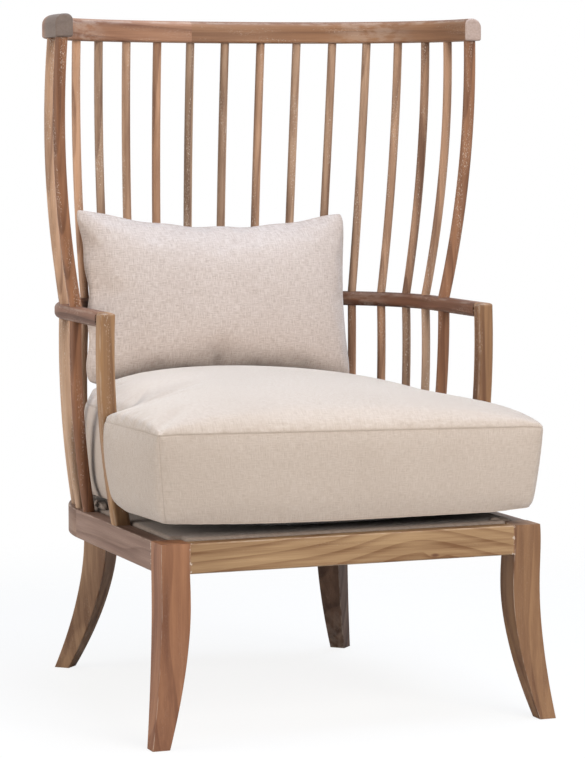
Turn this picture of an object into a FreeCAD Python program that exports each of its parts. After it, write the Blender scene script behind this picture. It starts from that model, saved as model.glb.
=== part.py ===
import FreeCAD, Part
import math
import os

V = FreeCAD.Vector
os.makedirs("parts", exist_ok=True)

# A high-backed lounge chair with a spindle back, in millimetres, +Z up, front towards -Y.
# Depths below are counted from the face of the front rail, heights from the floor.

# Seat frame: rails with a lip around the deck and a ledge under it.
FRAME_HALF_W = 324.0
FRAME_BACK = 757.0
FRAME_BACK_R = 400.0
FRAME_CORNER_IN = 19.0
FRAME_TOP = 318.0
FRAME_JOINT_L = 180.0
RAIL_H = 48.0
RAIL_LIP = 28.0
RAIL_W = 46.0
LEDGE_DROP = 22.0
RAIL_EDGE_R = 3.0

# Front legs carry the frame's corners, rear legs stand under it, turned to the diagonal.
FRONT_LEG_W = 48.0
FRONT_LEG_D = 52.0
FRONT_FOOT = 29.0
FRONT_SPLAY_X = 31.5
FRONT_SPLAY_Y = 29.5
FRONT_BEND_Z = 215.0
REAR_LEG = 45.0
REAR_FOOT = 28.5
REAR_BEND_Z = 235.0
REAR_SPLAY_X = 46.0
REAR_SPLAY_Y = 71.0
REAR_LEG_INSET = 23.0
REAR_LEG_ANGLE = 45.0
LEG_EDGE_R = 2.0
BEND_POWER = 1.7

# Arm bow and the posts at its front ends.
ARM_HALF_W = 334.0
ARM_BACK = 722.0
ARM_BACK_R = 390.0
ARM_CORNER_IN = 97.0
ARM_TOP = 663.0
ARM_W = 28.0
ARM_H = 25.0
ARM_EDGE_R = 9.0
ARM_END_R = 6.0
ARM_POST_Y = 247.0
ARM_POST_D = 25.0
ARM_POST_BULGE = 9.0
ARM_POST_EDGE_R = 7.0
ARM_JOINT_L = 236.0

# Crest rail.
CREST_HALF_W = 365.0
CREST_BACK = 696.0
CREST_BACK_R = 496.0
CREST_CORNER_IN = 78.0
CREST_BOTTOM = 1106.0
CREST_H = 38.0
CREST_W = 30.0
CREST_TOP_R = 11.0
CREST_OUT_R = 16.0
CREST_LOW_R = 4.0
CREST_END_R = 3.0
CREST_FRONT = 359.0
CREST_JOINT_L = -36.0

# Spindles: counted from the middle of the back, the same number on each side, then an end post.
SPINDLES_A_SIDE = 8
SPINDLE_D = 15.0
END_POST_D = 20.0
BASE_INSET = 13.0
BASE_PITCH = 62.6
BASE_EASE = 0.03
BASE_END_GAP = 52.0
ARM_PITCH = 61.3
ARM_EASE = 0.04
ARM_END_GAP = 74.0
CREST_PITCH = 65.2
CREST_EASE = 0.045
CREST_END_GAP = 79.0
UPPER_BULGE = 10.0
BACK_BULGE = 4.0
LOWER_BULGE = 7.0

# Deck inside the rails.
DECK_GAP = 1.0
DECK_BOARD_T = 12.0
DECK_CLOTH_TOP = 323.0
DECK_EDGE_R = 5.0

# Loose seat cushion: a T in plan, with ears in front of the arm posts.
CUSHION_X = -3.0
CUSHION_FRONT = -3.0
CUSHION_EAR_OVER = 14.0
CUSHION_EAR_BACK = 226.0
CUSHION_TOE = 10.0
CUSHION_SIDE_INSET = 34.0
CUSHION_LOW_SEAM = 344.0
CUSHION_TOP_SEAM = 482.0
CUSHION_CROWN = 549.0
CUSHION_BULGE = 5.0
CUSHION_CORNER_R = 20.0

# Loose back pillow with a knife edge.
PILLOW_W = 505.0
PILLOW_H = 310.0
PILLOW_T = 118.0
PILLOW_TOP_HOLLOW = 24.0
PILLOW_SIDE_HOLLOW = 13.0
PILLOW_LOW_HOLLOW = 15.0
PILLOW_X = -17.0
PILLOW_Y = 597.0
PILLOW_Z = 656.3
PILLOW_LEAN = 9.0
PILLOW_YAW = 3.5
PILLOW_ROLL = 1.6
PILLOW_STEPS = 7
PILLOW_FACE = 122.0
PILLOW_ROUND = 30.0

# Joints and clearances.
SOCKET_CLEAR = 0.1
TENON_CLEAR = 0.15
END_CLEAR = 0.5
REST_CLEAR = 0.3
HEAD_EASE = 0.5
ROD_IN_ARM = 10.5
ROD_IN_CREST = 18.0
ROD_IN_RAIL = 18.0
TONGUE_L = 16.0
TONGUE_T = 12.0
TONGUE_H = 18.0
TENON_D = 14.0
LEG_TENON_D = 20.0
LEG_TENON_L = 20.0

FRAME_BOTTOM = FRAME_TOP - RAIL_H
LEDGE_TOP = FRAME_TOP - LEDGE_DROP
ARM_BOTTOM = ARM_TOP - ARM_H
CREST_TOP = CREST_BOTTOM + CREST_H
FRONT_FOOT_Y = FRONT_LEG_D / 2 - FRONT_SPLAY_Y - FRONT_FOOT / 2
Y_MID = (FRAME_BACK + FRONT_FOOT_Y) / 2
LEVEL_Z = (FRAME_BOTTOM + LEDGE_TOP) / 2


def at(x, y, z):
    return V(x, y - Y_MID, z)


class Bow:
    """A plan curve: one arc across the back, a tighter arc at each corner, then straight runs forward.

    The corner arcs have their centres corner_in to each side of the middle. Places on the curve are given by
    the length along it from the middle of the back, plus to +X.
    """

    def __init__(self, back, half, back_r, corner_in):
        self.back = back
        self.half = half
        self.back_r = back_r
        self.corner_in = corner_in
        corner_r = half - corner_in
        self.corner_r = corner_r
        self.turn = math.asin(corner_in / (back_r - corner_r))
        self.straight_y = back - back_r + (back_r - corner_r) * math.cos(self.turn)
        self.s_corner = back_r * self.turn
        self.s_straight = self.s_corner + corner_r * (math.pi / 2 - self.turn)

    def inset(self, d):
        return Bow(self.back - d, self.half - d, self.back_r - d, self.corner_in)

    def s_at_y(self, y):
        if y <= self.straight_y:
            return self.s_straight + self.straight_y - y
        return self.s_corner + self.corner_r * (math.acos((y - self.straight_y) / self.corner_r) - self.turn)

    def spot(self, s):
        """x, y and the outward direction at a length s."""
        a = abs(s)
        if a <= self.s_corner:
            phi = a / self.back_r
            x = self.back_r * math.sin(phi)
            y = self.back - self.back_r + self.back_r * math.cos(phi)
        elif a <= self.s_straight:
            phi = self.turn + (a - self.s_corner) / self.corner_r
            x = self.half - self.corner_r + self.corner_r * math.sin(phi)
            y = self.straight_y + self.corner_r * math.cos(phi)
        else:
            phi = math.pi / 2
            x = self.half
            y = self.straight_y - (a - self.s_straight)
        side = math.copysign(1.0, s)
        return side * x, y, V(side * math.sin(phi), math.cos(phi), 0)

    def point(self, s, z):
        x, y, out = self.spot(s)
        return at(x, y, z)

    def edges(self, s0, s1, z):
        breaks = [-self.s_straight, -self.s_corner, self.s_corner, self.s_straight]
        stops = [s0] + [b for b in breaks if s0 + 0.01 < b < s1 - 0.01] + [s1]
        made = []
        for a, b in zip(stops, stops[1:]):
            p, q = self.point(a, z), self.point(b, z)
            if abs((a + b) / 2) > self.s_straight:
                made.append(Part.LineSegment(p, q).toShape())
            else:
                made.append(Part.Arc(p, self.point((a + b) / 2, z), q).toShape())
        return made

    def sweep(self, s0, s1, corners):
        """The section given by corners of (outward, height, radius), carried from s0 to s1."""
        x, y, out = self.spot(s0)
        wire = rounded(corners, lambda a, b: at(x + out.x * a, y + out.y * a, b))
        path = Part.Wire(self.edges(s0, s1, corners[0][1]))
        return path.makePipeShell([wire], True, False)


def rounded(corners, place):
    """A closed wire through corners of (a, b, radius), put in space by place(a, b)."""
    marks = []
    n = len(corners)
    for i in range(n):
        a, b, r = corners[i]
        u = V(corners[i - 1][0] - a, corners[i - 1][1] - b, 0).normalize()
        w = V(corners[(i + 1) % n][0] - a, corners[(i + 1) % n][1] - b, 0).normalize()
        if r <= 0:
            marks.append((V(a, b, 0), None, V(a, b, 0)))
            continue
        half = math.acos(max(-1.0, min(1.0, u.dot(w)))) / 2
        reach = r / math.tan(half)
        mid = (u + w).normalize() * (r / math.sin(half) - r)
        c = V(a, b, 0)
        marks.append((c + u * reach, c + mid, c + w * reach))
    made = []
    for i in range(n):
        first, mid, last = marks[i]
        if mid is not None:
            made.append(Part.Arc(place(first.x, first.y), place(mid.x, mid.y), place(last.x, last.y)).toShape())
        begin = marks[(i + 1) % n][0]
        if (begin - last).Length > 0.001:
            made.append(Part.LineSegment(place(last.x, last.y), place(begin.x, begin.y)).toShape())
    return Part.Wire(made)


def block(x0, x1, y0, y1, z0, z1):
    lo = at(min(x0, x1), min(y0, y1), z0)
    return Part.makeBox(abs(x1 - x0), abs(y1 - y0), z1 - z0, lo)


def pin(x, y, z0, z1, d):
    return Part.makeCylinder(d / 2, z1 - z0, at(x, y, z0))


def save(name, shape):
    solids = shape.Solids
    shape = solids[0] if len(solids) == 1 else Part.makeCompound(solids)
    shape.exportStep("parts/" + name + ".step")
    print(name, round(shape.Volume / 1000.0, 1), "cm3", "ok" if shape.isValid() else "not valid")


SIDES = (("left", -1), ("right", 1))
frame_bow = Bow(FRAME_BACK, FRAME_HALF_W, FRAME_BACK_R, FRAME_CORNER_IN)
base_bow = frame_bow.inset(BASE_INSET)
arm_bow = Bow(ARM_BACK, ARM_HALF_W, ARM_BACK_R, ARM_CORNER_IN)
crest_bow = Bow(CREST_BACK, CREST_HALF_W, CREST_BACK_R, CREST_CORNER_IN)


# Spindles and end posts: each is a round rod on an arc that bulges outwards between two bows.
def rod_axis(foot, head, out, bulge, below, above):
    circle = Part.Circle(foot, (foot + head) * 0.5 + out * bulge, head)
    first = circle.parameter(foot)
    turn = (circle.parameter(head) - first) % (2 * math.pi)
    return Part.ArcOfCircle(circle, first - below / circle.Radius, first + turn + above / circle.Radius)


def rod(axis, d):
    first = axis.FirstParameter
    ring = Part.Circle(axis.value(first), axis.tangent(first)[0], d / 2)
    return Part.Wire(axis.toShape()).makePipeShell([Part.Wire(ring.toShape())], True, False)


def rod_place(k, side, pitch, ease, gap):
    """Length along a bow to rod number k: closer together towards the ends, the end post as the last number."""
    n = min(k, SPINDLES_A_SIDE) - 0.5
    return side * (pitch * n - ease * n ** 3 + (gap if k > SPINDLES_A_SIDE else 0.0))


rods = {}
arm_sockets = []
crest_sockets = []
rail_sockets = []
for side_name, side in SIDES:
    for k in range(1, SPINDLES_A_SIDE + 2):
        last = k > SPINDLES_A_SIDE
        d = END_POST_D if last else SPINDLE_D
        s_base = rod_place(k, side, BASE_PITCH, BASE_EASE, BASE_END_GAP)
        s_arm = rod_place(k, side, ARM_PITCH, ARM_EASE, ARM_END_GAP)
        s_crest = rod_place(k, side, CREST_PITCH, CREST_EASE, CREST_END_GAP)
        x, y, out = arm_bow.spot(s_arm)
        upper = BACK_BULGE + UPPER_BULGE * abs(out.x) ** 3
        ends = {}
        for grow in (0.0, END_CLEAR):
            ends[grow] = (
                rod_axis(base_bow.point(s_base, FRAME_TOP), arm_bow.point(s_arm, ARM_BOTTOM), out, LOWER_BULGE,
                         ROD_IN_RAIL + grow, ROD_IN_ARM + grow),
                rod_axis(arm_bow.point(s_arm, ARM_TOP), crest_bow.point(s_crest, CREST_BOTTOM), out, upper,
                         ROD_IN_ARM + grow, ROD_IN_CREST + grow))
        name = "end_post" if last else "spindle"
        tail = side_name if last else "{}_{}".format(side_name, k)
        rods["lower_" + name + "_" + tail] = rod(ends[0.0][0], d)
        rods["upper_" + name + "_" + tail] = rod(ends[0.0][1], d)
        wide = d + 2 * SOCKET_CLEAR
        low, high = rod(ends[END_CLEAR][0], wide), rod(ends[END_CLEAR][1], wide)
        rail_sockets.append(low)
        crest_sockets.append(high)
        arm_sockets.extend([low, high])
for name, shape in rods.items():
    save(name, shape)


def near(shape, tools):
    """The tools whose boxes meet the shape's box."""
    return [t for t in tools if t.BoundBox.intersect(shape.BoundBox)]


def drill(shape, tools):
    for tool in near(shape, tools):
        shape = shape.cut(tool)
    return shape


def tongue(bow, s, low, high, thick, centre, grow=0.0):
    """A straight tongue across a glue joint at s, wider by grow all round when it is a mortise."""
    x, y, out = bow.spot(s)
    reach = TONGUE_L + (END_CLEAR if grow else 0.0)
    bar = Part.makeBox(2 * reach, thick + 2 * grow, high - low + 2 * grow,
                       V(-reach, centre - thick / 2 - grow, low - grow))
    bar.rotate(V(0, 0, 0), V(0, 0, 1), math.degrees(math.atan2(-out.x, out.y)))
    bar.translate(at(x, y, 0))
    return bar


# Crest rail in two bent pieces, joined a little to one side of the middle.
crest_corners = [(-CREST_W / 2, CREST_BOTTOM, CREST_LOW_R), (CREST_W / 2, CREST_BOTTOM, CREST_LOW_R),
                 (CREST_W / 2, CREST_TOP, CREST_OUT_R), (-CREST_W / 2, CREST_TOP, CREST_TOP_R)]
crest_end = crest_bow.s_at_y(CREST_FRONT)
crest_mid = (CREST_BOTTOM + CREST_TOP) / 2


def soften_end(shape, bow, s, radius):
    """Round the edges around the flat end of a piece that stops at the length s of its bow."""
    x, y, out = bow.spot(s)
    along = V(-out.y, out.x, 0)
    loop = [e for e in shape.Edges if all(abs((v.Point - at(x, y, 0)).dot(along)) < 0.01 for v in e.Vertexes)]
    return shape.makeFillet(radius, loop)


crest_tongue = [crest_bow, CREST_JOINT_L, crest_mid - TONGUE_H / 2, crest_mid + TONGUE_H / 2, TONGUE_T, 0.0]
crest_left = crest_bow.sweep(-crest_end, CREST_JOINT_L, crest_corners)
crest_left = soften_end(crest_left, crest_bow, -crest_end, CREST_END_R)
crest_right = crest_bow.sweep(CREST_JOINT_L, crest_end, crest_corners)
crest_right = soften_end(crest_right, crest_bow, crest_end, CREST_END_R)
crest_left = crest_left.fuse(tongue(*crest_tongue)).removeSplitter()
crest_right = crest_right.cut(tongue(*crest_tongue, grow=TENON_CLEAR))
save("crest_left", drill(crest_left, crest_sockets))
save("crest_right", drill(crest_right, crest_sockets))

# Arm bow in three pieces: two arms and the run behind the back. Each arm butts against the back of its post.
arm_corners = [(-ARM_W / 2, ARM_BOTTOM, ARM_EDGE_R), (ARM_W / 2, ARM_BOTTOM, ARM_EDGE_R),
               (ARM_W / 2, ARM_TOP, ARM_EDGE_R), (-ARM_W / 2, ARM_TOP, ARM_EDGE_R)]
arm_butt = ARM_POST_Y + ARM_POST_D / 2
arm_end = arm_bow.s_at_y(arm_butt)
arm_mid = (ARM_TOP + ARM_BOTTOM) / 2
arm_back = arm_bow.sweep(-ARM_JOINT_L, ARM_JOINT_L, arm_corners)


def arm_tenon(side, grow=0.0):
    """A square tenon on the front end of an arm, or with grow the mortise for it in the post."""
    ease = END_CLEAR if grow else 0.0
    mid = side * ARM_HALF_W
    half = TONGUE_T / 2 + grow
    return block(mid - half, mid + half, arm_butt - TONGUE_L - ease, arm_butt + TONGUE_L,
                 arm_mid - half, arm_mid + half)


for side_name, side in SIDES:
    lo, hi = sorted((side * ARM_JOINT_L, side * arm_end))
    joint = [arm_bow, side * ARM_JOINT_L, arm_mid - TONGUE_T / 2, arm_mid + TONGUE_T / 2, TONGUE_T, 0.0]
    arm = arm_bow.sweep(lo, hi, arm_corners).fuse(arm_tenon(side)).removeSplitter()
    arm = arm.cut(tongue(*joint, grow=TENON_CLEAR))
    arm_back = arm_back.fuse(tongue(*joint))
    save("arm_" + side_name, drill(arm, arm_sockets))
save("arm_back", drill(arm_back.removeSplitter(), arm_sockets))

# Arm posts: a rounded bar on an arc, with a round tenon at the foot and a head rounded over like the arm.
post_base_x = FRAME_HALF_W - ARM_W / 2
post_front = ARM_POST_Y - ARM_POST_D / 2
head_low = ARM_TOP - ARM_EDGE_R


def post_head(side):
    """The room that the rounded head of a post may fill: the arm's rounding at the sides, its own in front."""
    mid, w = side * ARM_HALF_W, ARM_W / 2 + HEAD_EASE
    across = rounded([(-w, head_low, 0.0), (w, head_low, 0.0), (w, ARM_TOP, ARM_EDGE_R), (-w, ARM_TOP, ARM_EDGE_R)],
                     lambda a, b: at(mid + a, post_front - 1.0, b))
    along = rounded([(post_front, head_low, 0.0), (arm_butt + 1.0, head_low, 0.0), (arm_butt + 1.0, ARM_TOP, 0.0),
                     (post_front, ARM_TOP, ARM_END_R)], lambda a, b: at(mid - 2 * w, a, b))
    barrel = Part.Face(across).extrude(V(0, ARM_POST_D + 2.0, 0))
    return barrel.common(Part.Face(along).extrude(V(4 * w, 0, 0)))


for side_name, side in SIDES:
    foot = at(side * post_base_x, ARM_POST_Y, FRAME_TOP)
    head = at(side * ARM_HALF_W, ARM_POST_Y, arm_mid)
    axis = rod_axis(foot, head, V(side, 0, 0), ARM_POST_BULGE, ARM_W, ARM_W)
    start = axis.value(axis.FirstParameter)
    up = axis.tangent(axis.FirstParameter)[0]
    across = V(0, 1, 0).cross(up)
    w, d, r = ARM_W / 2, ARM_POST_D / 2, ARM_POST_EDGE_R
    corners = [(-w, -d, r), (w, -d, r), (w, d, r), (-w, d, r)]
    ring = rounded(corners, lambda a, b: start + across * a + V(0, 1, 0) * b)
    post = Part.Wire(axis.toShape()).makePipeShell([ring], True, False)
    keep = block(0, side * 2 * ARM_HALF_W, 0, FRAME_BACK, FRAME_TOP, head_low)
    post = post.common(keep).fuse(post.common(post_head(side)))
    post = post.fuse(pin(side * post_base_x, ARM_POST_Y, FRAME_TOP - ROD_IN_RAIL, FRAME_TOP + 1, TENON_D))
    post = post.cut(arm_tenon(side, TENON_CLEAR))
    save("arm_post_" + side_name, post.removeSplitter())
    rail_sockets.append(pin(side * post_base_x, ARM_POST_Y, FRAME_TOP - ROD_IN_RAIL - END_CLEAR, FRAME_TOP + 1,
                            TENON_D + 2 * SOCKET_CLEAR))


# Legs: sections that shrink and move outwards towards the floor.
def leg(top, bend_z, centre, splay, sizes, foot, angle):
    heights = [0.0] + [bend_z * f for f in (0.09, 0.2, 0.34, 0.5, 0.68, 0.85, 1.0)] + [top]
    wires = []
    for z in heights:
        bend = max(0.0, 1.0 - z / bend_z) ** BEND_POWER
        w = (sizes[0] + (foot - sizes[0]) * bend) / 2
        d = (sizes[1] + (foot - sizes[1]) * bend) / 2
        x = centre[0] + splay[0] * bend
        y = centre[1] + splay[1] * bend
        c, s = math.cos(math.radians(angle)), math.sin(math.radians(angle))
        corners = [(-w, -d, LEG_EDGE_R), (w, -d, LEG_EDGE_R), (w, d, LEG_EDGE_R), (-w, d, LEG_EDGE_R)]
        wires.append(rounded(corners, lambda a, b: at(x + a * c - b * s, y + a * s + b * c, z)))
    return Part.makeLoft(wires, True, False)


tongue_low, tongue_high = FRAME_BOTTOM + 9.0, FRAME_TOP - 9.0
leg_inner_x = FRAME_HALF_W - FRONT_LEG_W
tongue_mid = RAIL_LIP / 2


def front_tongue(side, grow=0.0):
    ease = END_CLEAR if grow else 0.0
    return block(side * (leg_inner_x - TONGUE_L), side * (leg_inner_x + TONGUE_L + ease),
                 tongue_mid - TONGUE_T / 2 - grow, tongue_mid + TONGUE_T / 2 + grow,
                 tongue_low - grow, tongue_high + grow)


def side_tongue(side, grow=0.0):
    ease = END_CLEAR if grow else 0.0
    mid = FRAME_HALF_W - tongue_mid
    return block(side * (mid - TONGUE_T / 2 - grow), side * (mid + TONGUE_T / 2 + grow),
                 FRONT_LEG_D - TONGUE_L - ease, FRONT_LEG_D + TONGUE_L, tongue_low - grow, tongue_high + grow)


# The rear legs stand where the frame's outer curve faces the diagonal.
rear_s = frame_bow.s_corner + frame_bow.corner_r * (math.radians(REAR_LEG_ANGLE) - frame_bow.turn)
rear_x, rear_y, rear_out = frame_bow.spot(rear_s)
rear_x = rear_x - rear_out.x * REAR_LEG_INSET
rear_y = rear_y - rear_out.y * REAR_LEG_INSET
leg_tenon_top = FRAME_BOTTOM + LEG_TENON_L
for side_name, side in SIDES:
    centre = (side * (FRAME_HALF_W - FRONT_LEG_W / 2), FRONT_LEG_D / 2)
    front = leg(FRAME_TOP, FRONT_BEND_Z, centre, (side * FRONT_SPLAY_X, -FRONT_SPLAY_Y),
                (FRONT_LEG_W, FRONT_LEG_D), FRONT_FOOT, 0.0)
    front = front.cut([front_tongue(side, TENON_CLEAR), side_tongue(side, TENON_CLEAR)])
    save("front_leg_" + side_name, front)
    rear = leg(FRAME_BOTTOM, REAR_BEND_Z, (side * rear_x, rear_y), (side * REAR_SPLAY_X, REAR_SPLAY_Y),
               (REAR_LEG, REAR_LEG), REAR_FOOT, REAR_LEG_ANGLE)
    rear = rear.fuse(pin(side * rear_x, rear_y, FRAME_BOTTOM - 1, leg_tenon_top, LEG_TENON_D))
    save("rear_leg_" + side_name, rear.removeSplitter())
    rail_sockets.append(pin(side * rear_x, rear_y, FRAME_BOTTOM - 1, leg_tenon_top + END_CLEAR,
                            LEG_TENON_D + 2 * SOCKET_CLEAR))

# Rails: one section with a lip and a ledge, around the whole seat.
rail_corners = [(0.0, FRAME_BOTTOM, RAIL_EDGE_R), (0.0, FRAME_TOP, RAIL_EDGE_R),
                (-RAIL_LIP, FRAME_TOP, RAIL_EDGE_R), (-RAIL_LIP, LEDGE_TOP, 0.0),
                (-RAIL_W, LEDGE_TOP, RAIL_EDGE_R), (-RAIL_W, FRAME_BOTTOM, RAIL_EDGE_R)]
front_ring = rounded(rail_corners, lambda a, b: at(-leg_inner_x, -a, b))
front_rail = Part.Face(front_ring).extrude(V(2 * leg_inner_x, 0, 0))
front_rail = front_rail.fuse([front_tongue(-1), front_tongue(1)]).removeSplitter()
save("front_rail", front_rail)

s_leg = frame_bow.s_at_y(FRONT_LEG_D)
low_joint = [FRAME_BOTTOM + 6.0, LEDGE_TOP - 5.0, TONGUE_T, -(RAIL_W + RAIL_LIP) / 2 - 1.0]
rear_centre = frame_bow.sweep(-FRAME_JOINT_L, FRAME_JOINT_L, rail_corners)
for side_name, side in SIDES:
    corner_s, straight_s = side * FRAME_JOINT_L, side * frame_bow.s_straight
    lo, hi = sorted((straight_s, side * s_leg))
    rail = frame_bow.sweep(lo, hi, rail_corners)
    rail = rail.fuse([side_tongue(side), tongue(frame_bow, straight_s, *low_joint)]).removeSplitter()
    save("side_rail_" + side_name, drill(rail, rail_sockets))
    lo, hi = sorted((corner_s, straight_s))
    rail = frame_bow.sweep(lo, hi, rail_corners)
    rail = rail.cut([tongue(frame_bow, straight_s, *low_joint, grow=TENON_CLEAR),
                     tongue(frame_bow, corner_s, *low_joint, grow=TENON_CLEAR)])
    save("rear_rail_" + side_name, drill(rail, rail_sockets))
    rear_centre = rear_centre.fuse(tongue(frame_bow, corner_s, *low_joint))
save("rear_rail_centre", drill(rear_centre.removeSplitter(), rail_sockets))

# Deck: a board on the ledge and a cloth pad on the board, notched around the front legs.
deck_bow = frame_bow.inset(RAIL_LIP + DECK_GAP)
notch_y = FRONT_LEG_D + DECK_GAP
notch_x = leg_inner_x - DECK_GAP
deck_front = RAIL_LIP + DECK_GAP
deck_s = deck_bow.s_at_y(notch_y)


def deck_slab(z0, z1):
    run = [(deck_bow.half, notch_y), (notch_x, notch_y), (notch_x, deck_front), (-notch_x, deck_front),
           (-notch_x, notch_y), (-deck_bow.half, notch_y)]
    lines = [Part.LineSegment(at(a[0], a[1], z0), at(b[0], b[1], z0)).toShape() for a, b in zip(run, run[1:])]
    ring = Part.Wire(Part.__sortEdges__(deck_bow.edges(-deck_s, deck_s, z0) + lines))
    return Part.Face(ring).extrude(V(0, 0, z1 - z0))


board_top = LEDGE_TOP + DECK_BOARD_T
save("deck_board", deck_slab(LEDGE_TOP, board_top))
pad = deck_slab(board_top, DECK_CLOTH_TOP)
rim = [e for e in pad.Edges if abs(e.BoundBox.ZMin - DECK_CLOTH_TOP) < 0.01]
save("deck_cloth", pad.makeFillet(DECK_EDGE_R, rim))

# Seat cushion: the T outline at several heights, drawn in at both seams and crowned on top.
seat_bow = frame_bow.inset(CUSHION_SIDE_INSET)


def cushion_ring(z, front_in, ear_in, back_in, side_in, ear_back):
    front = CUSHION_FRONT + front_in
    ear = FRAME_HALF_W + CUSHION_EAR_OVER - ear_in
    neck = seat_bow.half - side_in
    shrink = neck / seat_bow.half
    shape = Bow(seat_bow.back - back_in, neck, seat_bow.back_r * shrink, seat_bow.corner_in * shrink)
    ear_r = min(CUSHION_CORNER_R, (ear - neck) * 0.42)
    front_r = min(CUSHION_CORNER_R + 0.5 * max(0.0, front_in), ear_back - front - ear_r - 4.0)
    toe = ear - CUSHION_TOE
    run = [(neck, ear_back, ear_r), (ear, ear_back, ear_r), (toe, front, front_r), (-toe, front, front_r),
           (-ear, ear_back, ear_r), (-neck, ear_back, ear_r)]
    made = []
    last = None
    first = None
    behind = ear_back + 2 * CUSHION_CORNER_R
    full = [(neck, behind, 0.0)] + run + [(-neck, behind, 0.0)]
    for i in range(1, len(full) - 1):
        a, b, r = full[i]
        u = V(full[i - 1][0] - a, full[i - 1][1] - b, 0).normalize()
        w = V(full[i + 1][0] - a, full[i + 1][1] - b, 0).normalize()
        c = V(a, b, 0)
        half = math.acos(u.dot(w)) / 2
        reach = r / math.tan(half)
        p, q = c + u * reach, c + w * reach
        mid = c + (u + w).normalize() * (r / math.sin(half) - r)
        if last is not None:
            made.append(Part.LineSegment(at(last.x, last.y, z), at(p.x, p.y, z)).toShape())
        else:
            first = p
        made.append(Part.Arc(at(p.x, p.y, z), at(mid.x, mid.y, z), at(q.x, q.y, z)).toShape())
        last = q
    s_end = shape.s_at_y(last.y)
    made.extend(shape.edges(-s_end, s_end, z))
    return Part.Wire(Part.__sortEdges__(made))


cushion_low = DECK_CLOTH_TOP + REST_CLEAR
waist = (CUSHION_LOW_SEAM + CUSHION_TOP_SEAM) / 2
rise = CUSHION_CROWN - CUSHION_TOP_SEAM
back_ear = CUSHION_EAR_BACK
levels = [(cushion_low, 96.0, 97.0, 64.0, 64.0, back_ear - 50.0),
          (cushion_low + 8.0, 52.0, 53.0, 38.0, 34.0, back_ear - 26.0),
          (CUSHION_LOW_SEAM, 15.0, 16.0, 12.0, 8.0, back_ear - 8.0),
          (waist, 4.0, 0.0, -1.0, -CUSHION_BULGE, back_ear + 3.0),
          (CUSHION_TOP_SEAM, 2.0, 6.0, 12.0, 2.0, back_ear - 2.0),
          (CUSHION_TOP_SEAM + rise * 0.32, 26.0, 50.0, 94.0, 48.0, back_ear - 12.0),
          (CUSHION_TOP_SEAM + rise * 0.64, 62.0, 105.0, 172.0, 98.0, back_ear - 20.0),
          (CUSHION_TOP_SEAM + rise * 0.88, 106.0, 159.0, 244.0, 146.0, back_ear - 24.0),
          (CUSHION_CROWN, 148.0, 207.0, 304.0, 188.0, back_ear - 24.0)]
cushion = Part.makeLoft([cushion_ring(*level) for level in levels], True, False)
cushion.translate(V(CUSHION_X, 0, 0))
save("seat_cushion", cushion)


# Back pillow: a hollow-sided outline at the knife edge, rounder and smaller outlines towards each face.
def pillow_ring(step, facing):
    u = step / PILLOW_STEPS
    depth = facing * PILLOW_T / 2 * math.sin(u * math.pi / 2) ** 0.8
    draw_in = PILLOW_FACE * u
    w, h = PILLOW_W / 2 - draw_in, PILLOW_H / 2 - draw_in
    tall = PILLOW_TOP_HOLLOW - (PILLOW_TOP_HOLLOW + PILLOW_ROUND) * u
    wide = PILLOW_SIDE_HOLLOW - (PILLOW_SIDE_HOLLOW + PILLOW_ROUND) * u
    ends = [V(-w, depth, -h), V(w, depth, -h), V(w, depth, h), V(-w, depth, h)]
    low = PILLOW_LOW_HOLLOW - (PILLOW_LOW_HOLLOW + PILLOW_ROUND) * u
    middles = [V(0, depth, -h + low), V(w - wide, depth, 0), V(0, depth, h - tall), V(-w + wide, depth, 0)]
    arcs = [Part.Arc(ends[i], middles[i], ends[(i + 1) % 4]).toShape() for i in range(4)]
    return Part.Wire(arcs)


halves = [Part.makeLoft([pillow_ring(i, facing) for i in range(PILLOW_STEPS + 1)], True, False) for facing in (-1, 1)]
pillow = halves[0].fuse(halves[1])
pillow.rotate(V(0, 0, 0), V(0, 1, 0), PILLOW_ROLL)
pillow.rotate(V(0, 0, 0), V(1, 0, 0), -PILLOW_LEAN)
pillow.rotate(V(0, 0, 0), V(0, 0, 1), PILLOW_YAW)
pillow.translate(at(PILLOW_X, PILLOW_Y, PILLOW_Z))
save("pillow", pillow)
print("pillow to cushion", round(pillow.distToShape(cushion)[0], 2))
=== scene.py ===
# %% [markdown]
# # A high-backed spindle armchair
#
# The chair is a limed wooden frame with a loose seat cushion and a loose pillow. Its solids come
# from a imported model, so every wooden member already has its true shape and place. What is left
# to make here is what a solid can't show: the grain, the lime in the pores, and the cloth.

# %% Load the frame
import math
import bmesh
import bpy
import numpy as np
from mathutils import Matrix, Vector, geometry
from mathutils.bvhtree import BVHTree


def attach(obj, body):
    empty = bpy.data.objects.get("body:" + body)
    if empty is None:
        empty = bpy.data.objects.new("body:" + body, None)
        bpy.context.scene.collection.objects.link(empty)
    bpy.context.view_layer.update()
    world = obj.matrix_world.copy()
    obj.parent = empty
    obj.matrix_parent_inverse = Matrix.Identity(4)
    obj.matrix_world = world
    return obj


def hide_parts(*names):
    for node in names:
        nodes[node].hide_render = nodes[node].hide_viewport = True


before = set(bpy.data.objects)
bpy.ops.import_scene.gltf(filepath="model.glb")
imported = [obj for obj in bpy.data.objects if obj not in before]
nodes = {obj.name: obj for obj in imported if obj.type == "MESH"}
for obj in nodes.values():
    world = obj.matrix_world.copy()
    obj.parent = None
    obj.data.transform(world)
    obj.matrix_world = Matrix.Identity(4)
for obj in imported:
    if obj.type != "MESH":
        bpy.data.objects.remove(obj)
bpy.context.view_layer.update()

scene = bpy.context.scene

# %% [markdown]
# ## The camera
#
# The photograph was taken from the left of the chair's front, a little above the seat, with a long
# lens. A long lens far away keeps the legs nearly parallel. The optical axis is not in the middle
# of the picture, as if the picture had been cropped, and a small shift does the same here.


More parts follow.
